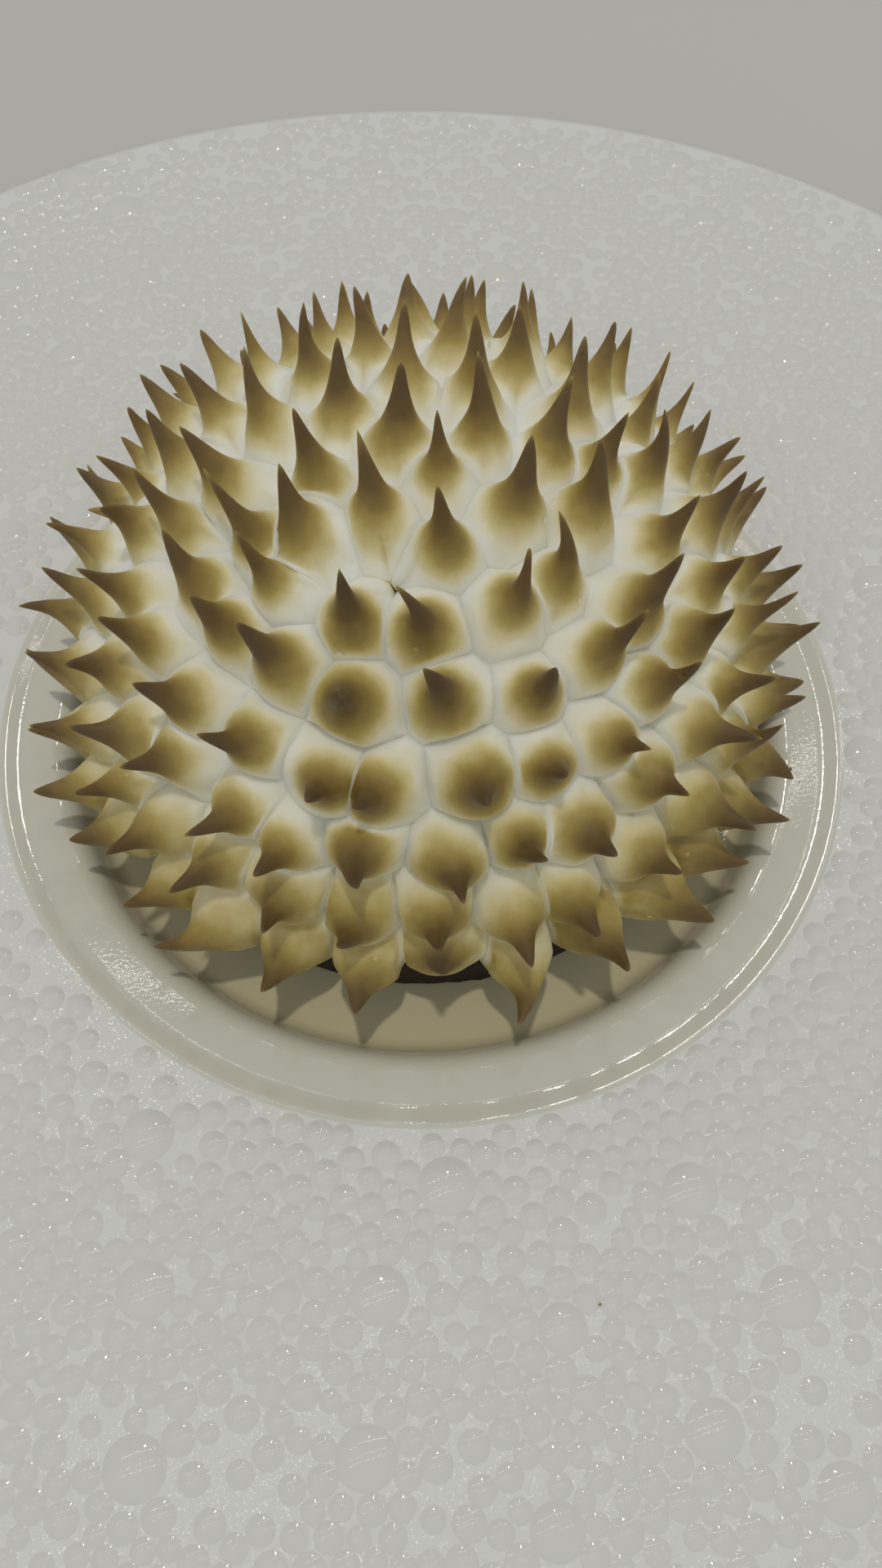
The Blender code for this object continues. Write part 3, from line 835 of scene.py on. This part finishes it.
PATCH_SIZE = 5.0 * MM                         # of the torch's uneven patches
PATCH_SHIFT = 0.05
PIT_SPACING = 4.4 * MM
PIT_RARITY = 0.78                             # share of the places that stay without a pit
PIT_DEPTH = 0.3 * MM
PIT_PALENESS = -0.10
FOAM_SIZE = 0.7 * MM
FOAM_DEPTH = 0.06 * MM
SKIN_ROUGHNESS = (0.30, 0.62)
SCATTER_DEPTH = 3.4 * MM                      # how far light sinks into the foam
SCATTER_SHARES = (1.0, 0.9, 0.7)              # red goes furthest
# From raw to burnt: how brown, and the colour.
TOAST = ((0.0, "#f0f1ec"), (0.21, "#ebe7d0"), (0.33, "#d8cc98"), (0.45, "#b4a05a"), (0.58, "#90793c"),
         (0.72, "#6c5628"), (0.92, "#503d1e"))


def toasted_meringue():
    """Meringue, whisked, piped and torched: a soft white foam that light sinks into, and a thin dry skin that
    goes from cream through tan to a burnt brown at the peaks."""
    material = new_material("toasted_meringue")
    place = add_node(material, "ShaderNodeTexCoord", {}).outputs["Object"]
    toast_and_painted_light = add_node(material, "ShaderNodeAttribute", {}, attribute_name="toast_and_painted_light").outputs["Fac"]
    patches = add_node(material, "ShaderNodeTexNoise", {
        "Vector": place, "Scale": 1.0 / PATCH_SIZE, "Detail": 3.0, "Roughness": 0.55})
    patch_shift = add_node(material, "ShaderNodeMapRange", {
        "Value": patches.outputs["Fac"], "From Min": 0.3, "From Max": 0.7,
        "To Min": -PATCH_SHIFT, "To Max": PATCH_SHIFT})
    toasted = add_node(material, "ShaderNodeMath", {0: toast_and_painted_light, 1: patch_shift.outputs["Result"]},
                       operation="ADD")
    # Air bubbles that burst at the surface left a pit here and there, paler inside than the skin round it.
    cells = add_node(material, "ShaderNodeTexVoronoi", {"Vector": place, "Scale": 1.0 / PIT_SPACING})
    chosen = add_node(material, "ShaderNodeMath", {
        0: cells.outputs["Color"], 1: PIT_RARITY}, operation="GREATER_THAN")
    hollow = add_node(material, "ShaderNodeMapRange", {
        "Value": cells.outputs["Distance"], "From Min": 0.05, "From Max": 0.14, "To Min": 1.0, "To Max": 0.0})
    pits = add_node(material, "ShaderNodeMapRange", {
        "Value": chosen.outputs["Value"], "To Max": hollow.outputs["Result"]})
    paler = add_node(material, "ShaderNodeMath", {
        0: pits.outputs["Result"], 1: PIT_PALENESS, 2: toasted.outputs["Value"]}, operation="MULTIPLY_ADD")
    skin = add_node(material, "ShaderNodeValToRGB", {"Fac": paler.outputs["Value"]})
    set_ramp(skin, TOAST)
    foam = add_node(material, "ShaderNodeTexNoise", {
        "Vector": place, "Scale": 1.0 / FOAM_SIZE, "Detail": 3.0, "Roughness": 0.6})
    foam_bump = add_node(material, "ShaderNodeBump", {
        "Height": foam.outputs["Fac"], "Distance": FOAM_DEPTH, "Strength": 0.6})
    pit_bump = add_node(material, "ShaderNodeBump", {
        "Height": pits.outputs["Result"], "Distance": PIT_DEPTH, "Strength": 1.0,
        "Normal": foam_bump.outputs["Normal"]}, invert=True)
    gloss = add_node(material, "ShaderNodeMapRange", {
        "Value": foam.outputs["Fac"], "To Min": SKIN_ROUGHNESS[0], "To Max": SKIN_ROUGHNESS[1]})
    shader = add_node(material, "ShaderNodeBsdfPrincipled", {
        "Base Color": skin.outputs["Color"], "Roughness": gloss.outputs["Result"], "Subsurface Weight": 0.8,
        "Subsurface Scale": SCATTER_DEPTH, "Subsurface Radius": SCATTER_SHARES,
        "Normal": pit_bump.outputs["Normal"]})
    return finish_material(material, shader)


meringue_skin = toasted_meringue()
meringue = add_piece("meringue_kisses", pipe_meringue(), meringue_skin)
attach(meringue, "root")
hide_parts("meringue")


# The flecks: specks of burnt meringue that broke off under the torch and fell on the plate, one among the
# bubbles and two on the band, where they stick.
# Each fleck: where it lies on the plate, as x, y and height, and its size.
FLECKS = ((25.9 * MM, -91.3 * MM, RIM_LEVEL + 0.2 * MM, 0.5 * MM),
          (59.6 * MM, -8.7 * MM, BAND_LEVEL, 0.7 * MM),
          (60.9 * MM, -11.0 * MM, BAND_LEVEL, 0.3 * MM))
FLECK_BROWN = 0.95


def scatter_flecks():
    """Small broken lumps, each a rough ball that sits on the plate."""
    rng = random.Random(SEED + 2)
    lumps = bmesh.new()
    for x, y, level, size in FLECKS:
        made = bmesh.ops.create_icosphere(lumps, subdivisions=1, radius=size / 2.0)["verts"]
        for vert in made:
            vert.co *= rng.uniform(0.75, 1.15)
            vert.co.z *= 0.7
            vert.co += Vector((x, y, level + 0.3 * size))
    mesh = bpy.data.meshes.new("flecks")
    lumps.to_mesh(mesh)
    lumps.free()
    burnt = [FLECK_BROWN] * len(mesh.vertices)
    mesh.attributes.new("toast_and_painted_light", "FLOAT", "POINT").data.foreach_set("value", burnt)
    return mesh


flecks = add_piece("toasted_flecks", scatter_flecks(), meringue_skin)
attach(flecks, "root")
